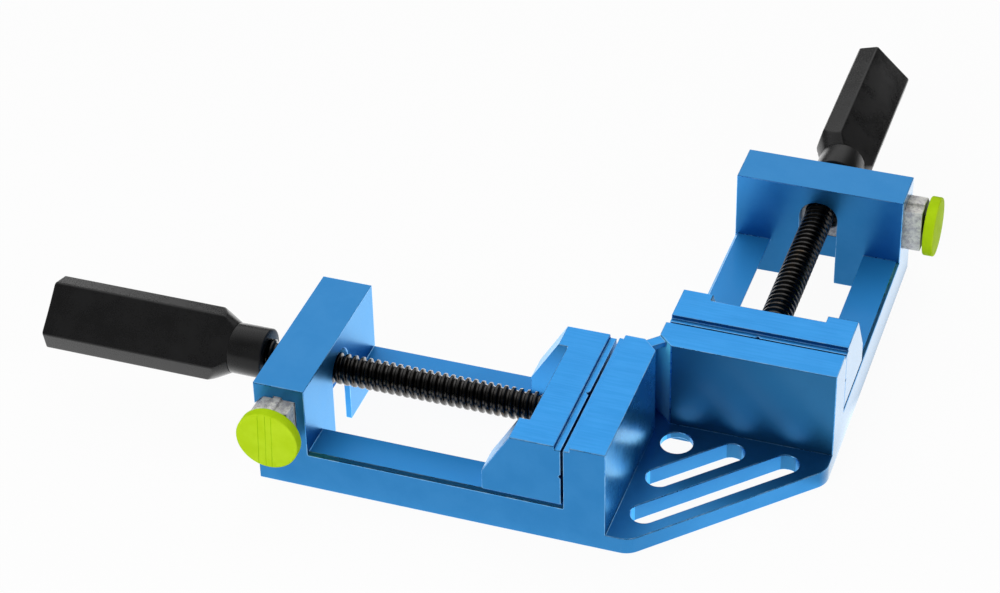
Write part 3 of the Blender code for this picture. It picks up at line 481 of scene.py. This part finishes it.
def thread_mesh(hand):
    """Helical strip of the given hand, cut flat and closed at both ends, in arm coordinates."""
    bm = bmesh.new()
    turns = int((THREAD_END - THREAD_START) / PITCH) + 4
    start = THREAD_START - LEAD_IN_TURNS * PITCH + CREST_SHIFT
    columns = []
    for k in range(turns * PER_TURN + 1):
        angle = 2 * pi * k / PER_TURN
        column = []
        for share, height in SECTION:
            radius = THREAD_ROOT + (THREAD_TOP - THREAD_ROOT) * height
            column.append(bm.verts.new((
                start + PITCH * (k / PER_TURN + share - CREST_SHARE),
                ARM_CENTRE + radius * cos(angle),
                SCREW_HEIGHT + hand * radius * sin(angle),
            )))
        columns.append(column)
    for k in range(len(columns) - 1):
        here, there = columns[k], columns[k + 1]
        for j in range(len(SECTION) - 1):
            bm.faces.new((here[j], there[j], there[j + 1], here[j + 1]))
        if k + 1 + PER_TURN < len(columns):
            bm.faces.new((here[-1], there[-1], columns[k + 1 + PER_TURN][0], columns[k + PER_TURN][0]))
    for along, sign in ((THREAD_START, -1), (THREAD_END, 1)):
        geometry = bm.verts[:] + bm.edges[:] + bm.faces[:]
        cut = bmesh.ops.bisect_plane(bm, geom=geometry, dist=CUT_TOLERANCE, plane_co=(along, 0, 0),
                                     plane_no=(sign, 0, 0), clear_outer=True)
        edges = [e for e in cut["geom_cut"] if isinstance(e, bmesh.types.BMEdge)]
        bmesh.ops.edgeloop_fill(bm, edges=edges)
    return bm


def add_turned(bm, profile, sides):
    """Closed solid of revolution about the screw's axis."""
    rings = []
    for along, radius in profile:
        count = sides if radius else 1
        rings.append([
            bm.verts.new((along, ARM_CENTRE + radius * cos(2 * pi * i / sides),
                          SCREW_HEIGHT + radius * sin(2 * pi * i / sides)))
            for i in range(count)
        ])
    for low, high in zip(rings, rings[1:]):
        for i in range(sides):
            j = (i + 1) % sides
            # Where one of the rings is a point on the axis, the face is a triangle
            corners = [low[i % len(low)], low[j % len(low)], high[j % len(high)], high[i % len(high)]]
            bm.faces.new(list(dict.fromkeys(corners)))


def build_lead_screw(arm, matrix, hand):
    """The thread, a grooved round nose that is held in the jaw, and a six-sided tail in the handle."""
    bm = thread_mesh(hand)
    add_turned(bm, [(NOSE_START, 0), (NOSE_START, NOSE_RADIUS - NOSE_CHAMFER),
                    (NOSE_START + NOSE_CHAMFER, NOSE_RADIUS), (GROOVE_START, NOSE_RADIUS),
                    (GROOVE_START, GROOVE_RADIUS), (GROOVE_END, GROOVE_RADIUS), (GROOVE_END, NOSE_RADIUS),
                    (THREAD_START, NOSE_RADIUS), (THREAD_START + OVERLAP, NOSE_RADIUS - OVERLAP / 2),
                    (THREAD_START + OVERLAP, 0)], sides=40)
    add_turned(bm, [(THREAD_END - OVERLAP, 0), (THREAD_END - OVERLAP, TAIL_RADIUS), (TAIL_END, TAIL_RADIUS),
                    (TAIL_END, 0)], sides=6)
    obj = new_object(f"lead_screw_thread_{arm}", bm, matrix, black_thread, crease=50)
    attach(obj, f"screw_{arm}")
    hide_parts(f"lead_screw_{arm}")


for arm, (matrix, hand) in ARMS.items():
    build_lead_screw(arm, matrix, hand)


# Handles

HANDLE_START = 0.1283
HANDLE_END = 0.2183
COLLAR_RADIUS = 0.00975
COLLAR_END = 0.1418
COLLAR_START_EDGE = 0.0006
COLLAR_END_EDGE = 0.0004
CONE_SLOPE = 0.5354
CONE_BLEND = 0.0003
CONE_START = COLLAR_END + 0.00005
CONE_STEP = 0.00024
CONE_STEPS = 40
GRIP_THICKNESS = 0.0145
GRIP_FLAT_WIDTH = 0.0205
GRIP_ROLL = radians(136.1)
GRIP_ROUND = 0.0013
GRIP_END_EDGE = 0.0007
GRIP_CAP_SHARE = 0.5
ROUND_STEPS = 8
FLAT_STEPS = 18
SOCKET_RADIUS = 0.0056
SOCKET_CHAMFER = 0.0004
SOCKET_END = 0.1860
SOCKET_FLOOR_RADIUS = 0.0001


def grip_outline():
    """Rounded flat hexagon about the screw's axis, with corners of 120 degrees."""
    half_flat, half_thick = GRIP_FLAT_WIDTH / 2, GRIP_THICKNESS / 2
    tip = half_flat + half_thick / 3 ** 0.5
    corners = [Vector(p) for p in ((tip, 0), (half_flat, half_thick), (-half_flat, half_thick), (-tip, 0),
                                   (-half_flat, -half_thick), (half_flat, -half_thick))]
    setback = GRIP_ROUND / 3 ** 0.5
    outline = []
    for i, corner in enumerate(corners):
        before = (corners[i - 1] - corner).normalized()
        after = (corners[(i + 1) % 6] - corner).normalized()
        middle = corner + (before + after).normalized() * (GRIP_ROUND / cos(radians(30)))
        start, end = corner + before * setback, corner + after * setback
        for k in range(ROUND_STEPS + 1):
            outline.append(middle + Matrix.Rotation(radians(60) * k / ROUND_STEPS, 2) @ (start - middle))
        far = corners[(i + 1) % 6] - after * setback
        for k in range(1, FLAT_STEPS):
            outline.append(end.lerp(far, k / FLAT_STEPS))
    return outline


def build_handle(arm, matrix):
    """Round collar, then the grip with soft edges and a turned cone at its root, hollow for the screw."""
    outline = grip_outline()

    def circle(along, radius):
        return along, [p.normalized() * radius for p in outline]

    def grip_ring(along, inset=0.0):
        cone = COLLAR_RADIUS + (along - COLLAR_END) * CONE_SLOPE
        ring = []
        for p in outline:
            reach, limit = p.length - inset, cone - inset
            edge = max(CONE_BLEND - abs(reach - limit), 0.0) / CONE_BLEND
            ring.append(p.normalized() * (min(reach, limit) - edge * edge * CONE_BLEND / 4))
        return along, ring

    rings = [circle(SOCKET_END, SOCKET_FLOOR_RADIUS), circle(SOCKET_END, SOCKET_RADIUS),
             circle(HANDLE_START + SOCKET_CHAMFER, SOCKET_RADIUS),
             circle(HANDLE_START, SOCKET_RADIUS + SOCKET_CHAMFER)]
    rings += [circle(*point) for point in rounded_start(HANDLE_START, COLLAR_RADIUS, COLLAR_START_EDGE)]
    rings += [circle(*point) for point in rounded_stop(COLLAR_END, COLLAR_RADIUS, COLLAR_END_EDGE)]
    rings += [grip_ring(CONE_START + CONE_STEP * k) for k in range(CONE_STEPS)]
    rings += [grip_ring(HANDLE_END - GRIP_END_EDGE * near, GRIP_END_EDGE * inward)
              for near, inward in reversed(ROUND)]
    # The end face is a flat ring and a cap
    rings.append((HANDLE_END, [p * GRIP_CAP_SHARE for p in rings[-1][1]]))

    turn = Matrix.Rotation(GRIP_ROLL, 2)
    bm = bmesh.new()
    columns = []
    for along, ring in rings:
        turned = [turn @ p for p in ring]
        columns.append([bm.verts.new((along, ARM_CENTRE + q.x, SCREW_HEIGHT + q.y)) for q in turned])
    skin_rings(bm, columns)
    bm.faces.new(columns[0])
    bm.faces.new(columns[-1])
    bmesh.ops.remove_doubles(bm, verts=bm.verts[:], dist=SAME_PLACE)
    obj = new_object(f"handle_grip_{arm}", bm, matrix, grip, crease=40)
    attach(obj, f"screw_{arm}")
    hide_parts(f"handle_{arm}")


for arm, (matrix, _) in ARMS.items():
    build_handle(arm, matrix)


# Buttons

BUTTON_ALONG = 0.10945
BUTTON_UP = 0.02975
BUTTON_RADIUS = 0.01215
BUTTON_BACK = 0.0925
BUTTON_FACE = 0.0969
BUTTON_EDGE = 0.0006
BUTTON_SIDES = 96
STEM_HOLE_RADIUS = 0.0028
STEM_HOLE_DEPTH = 0.0025
BUTTON_LINES = (0.00324, 0.00033, -0.00206)
LINE_TILT = radians(2.2)
LINE_HALF_WIDTH = 0.00017
LINE_DEPTH = 0.00022

lime_plastic = lime("lime_plastic", BUTTON_FACE + CORNER_OFFSET)


def build_button(arm, matrix):
    """Thick round disc with rounded rims, and three fine lines moulded down its face."""
    profile = [(BUTTON_BACK + STEM_HOLE_DEPTH, STEM_HOLE_RADIUS), (BUTTON_BACK, STEM_HOLE_RADIUS)]
    profile += rounded_start(BUTTON_BACK, BUTTON_RADIUS, BUTTON_EDGE)
    profile += rounded_stop(BUTTON_FACE, BUTTON_RADIUS, BUTTON_EDGE)
    angles = [2 * pi * i / BUTTON_SIDES for i in range(BUTTON_SIDES)]
    bm = bmesh.new()
    rings = []
    for out, radius in profile:
        rings.append([bm.verts.new((BUTTON_ALONG + radius * cos(a), out, BUTTON_UP + radius * sin(a)))
                      for a in angles])
    skin_rings(bm, rings)
    bm.faces.new(rings[0])
    bm.faces.new(rings[-1])
    across = Vector((cos(LINE_TILT), 0, sin(LINE_TILT)))
    centre = Vector((BUTTON_ALONG, 0, BUTTON_UP))
    front_least = BUTTON_FACE - BUTTON_EDGE / 2
    for line in BUTTON_LINES:
        for shift in (-LINE_HALF_WIDTH, 0, LINE_HALF_WIDTH):
            front = {f for f in bm.faces if f.calc_center_median().y > front_least}
            edges = {e for f in front for e in f.edges}
            verts = {v for f in front for v in f.verts}
            bmesh.ops.bisect_plane(bm, geom=list(front) + list(edges) + list(verts), dist=CUT_TOLERANCE,
                                   plane_co=centre + across * (line + shift), plane_no=across)
        for vert in bm.verts:
            if abs((vert.co - centre).dot(across) - line) < SAME_PLACE and vert.co.y > front_least:
                vert.co.y -= LINE_DEPTH
    obj = new_object(f"button_disc_{arm}", bm, matrix, lime_plastic, crease=30)
    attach(obj, f"release_{arm}")
    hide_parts(f"button_{arm}")


for arm, (matrix, _) in ARMS.items():
    build_button(arm, matrix)


# Floor, light and camera

FLOOR_HALF = 6.0
FLOOR_LEVEL = -0.0001

# Where the floor's reflection changes: the middles and the two radii of round spots, then bands in Y or X
UNDER_PLATE = (0.105, -0.105, 0)
BETWEEN_RAILS_B = (0.11, 0.02, 0)
NEAR, FAR = 0.045, 0.075
FRONT_EDGE = (-0.155, -0.115)
BESIDE_B = (0.142, 0.148)
FAR_BESIDE_B = (0.19, 0.24)

WHITE = (1, 1, 1, 1)
LAMP_SPREAD = radians(150)
LAMP_TARGET = (0, 0, 0.02)

# The camera's azimuth, elevation and roll in degrees, and its lens in millimetres
CAMERA_PLACE = (0.299962, -0.865254, 0.677311)
CAMERA_ANGLES = (-18.211, 32.917, 0.469)
CAMERA_LENS = 99.534
CAMERA_SHIFT = (-0.06556, -0.18404)


def build_floor():
    """Pale floor that keeps the shadow. As a reflection it glows brightest behind the vise, and weaker under
    the plate, before the vise, between arm B's rails and on arm B's outer side, as painted shade."""
    mesh = bpy.data.meshes.new("floor")
    mesh.from_pydata([(-FLOOR_HALF, -FLOOR_HALF, FLOOR_LEVEL), (FLOOR_HALF, -FLOOR_HALF, FLOOR_LEVEL),
                      (FLOOR_HALF, FLOOR_HALF, FLOOR_LEVEL), (-FLOOR_HALF, FLOOR_HALF, FLOOR_LEVEL)],
                     [], [(0, 1, 2, 3)])
    floor = link(bpy.data.objects.new("floor", mesh))
    material = bpy.data.materials.new("floor")
    material.use_nodes = True
    tree = material.node_tree
    tree.nodes.clear()
    n = Nodes(tree)
    path = n.add("ShaderNodeLightPath").outputs
    seen = n.chain("MAXIMUM", [path["Is Glossy Ray"], path["Is Transmission Ray"], path["Is Camera Ray"]])
    matt = n.add("ShaderNodeBsdfDiffuse", Color=(0.9, 0.9, 0.9, 1))
    spot = n.split("Object")
    behind = n.ramp(spot["Y"], *FRONT_EDGE)
    beside_b = n.ramp(spot["X"], *BESIDE_B)
    off_plate = n.ramp(n.distance(UNDER_PLATE), NEAR, FAR, 0.5, 0.95)
    off_arm_b = n.math("MAXIMUM", n.ramp(n.distance(BETWEEN_RAILS_B), NEAR, FAR), beside_b)
    # The weaker glow in these places is painted shade
    sweep = n.total(n.product(off_plate, off_arm_b, behind), n.total(0.65, n.product(off_arm_b, 0.35)))
    drop = n.product(beside_b, n.ramp(spot["X"], *FAR_BESIDE_B, 0.62, 0.95))
    sweep = n.math("SUBTRACT", sweep, drop)
    to_white = n.product(path["Is Camera Ray"], n.math("SUBTRACT", sweep, 1.0))
    glow = n.add("ShaderNodeEmission", Color=WHITE, Strength=n.math("SUBTRACT", sweep, to_white))
    mix = n.add("ShaderNodeMixShader")
    n.put(mix.inputs[0], n.product(seen, 0.95))
    n.put(mix.inputs[1], matt.outputs[0])
    n.put(mix.inputs[2], glow.outputs[0])
    n.add("ShaderNodeOutputMaterial", Surface=mix.outputs[0])
    mesh.materials.append(material)


def build_world():
    """White backdrop for the camera; for light, a tent that is bright behind the vise, and dim before it,
    near the horizon and on the right."""
    world = bpy.data.worlds.new("world")
    bpy.context.scene.world = world
    world.use_nodes = True
    tree = world.node_tree
    tree.nodes.clear()
    n = Nodes(tree)
    direction = n.split("Generated")
    strength = n.product(n.ramp(direction["Y"], -0.5, 0.5, 0.08, 1.2),
                         n.ramp(direction["Z"], 0.2, 0.46, 0.12, 1.0),
                         n.ramp(direction["X"], 0.0, 0.45, 1.0, 0.04))
    tent = n.add("ShaderNodeBackground", Color=WHITE, Strength=strength)
    backdrop = n.add("ShaderNodeBackground", Color=WHITE, Strength=1.0)
    mix = n.add("ShaderNodeMixShader")
    n.put(mix.inputs[0], n.add("ShaderNodeLightPath").outputs["Is Camera Ray"])
    n.put(mix.inputs[1], tent.outputs[0])
    n.put(mix.inputs[2], backdrop.outputs[0])
    n.add("ShaderNodeOutputWorld", Surface=mix.outputs[0])


def area_light(name, location, size, energy):
    data = bpy.data.lights.new(name, "AREA")
    data.shape = "RECTANGLE"
    data.size, data.size_y = size
    data.energy = energy
    data.spread = LAMP_SPREAD
    light = link(bpy.data.objects.new(name, data))
    light.location = location
    light.visible_glossy = False
    light.rotation_euler = (Vector(LAMP_TARGET) - Vector(location)).to_track_quat("-Z", "Y").to_euler()


def build_camera():
    """The photograph's viewpoint, with a slight roll."""
    azimuth, elevation, roll = (radians(a) for a in CAMERA_ANGLES)
    forward = Vector((sin(azimuth) * cos(elevation), cos(azimuth) * cos(elevation), -sin(elevation)))
    right = Vector((cos(azimuth), -sin(azimuth), 0))
    down = forward.cross(right)
    x_axis = right * cos(roll) + down * sin(roll)
    y_axis = right * sin(roll) - down * cos(roll)
    data = bpy.data.cameras.new("camera")
    data.sensor_fit = "HORIZONTAL"
    data.sensor_width = 36
    data.lens = CAMERA_LENS
    data.shift_x, data.shift_y = CAMERA_SHIFT
    data.clip_start = 0.05
    data.clip_end = 50
    camera = link(bpy.data.objects.new("camera", data))
    turn = Matrix((x_axis, y_axis, -forward)).transposed().to_4x4()
    camera.matrix_world = Matrix.Translation(CAMERA_PLACE) @ turn
    bpy.context.scene.camera = camera


build_floor()
build_world()
area_light("front_fill", location=(-0.5, -1.6, 1.0), size=(1.4, 1.0), energy=13)
area_light("right_fill", location=(1.5, -0.5, 0.7), size=(0.8, 0.8), energy=5)
build_camera()
bpy.context.scene.view_settings.view_transform = "Standard"
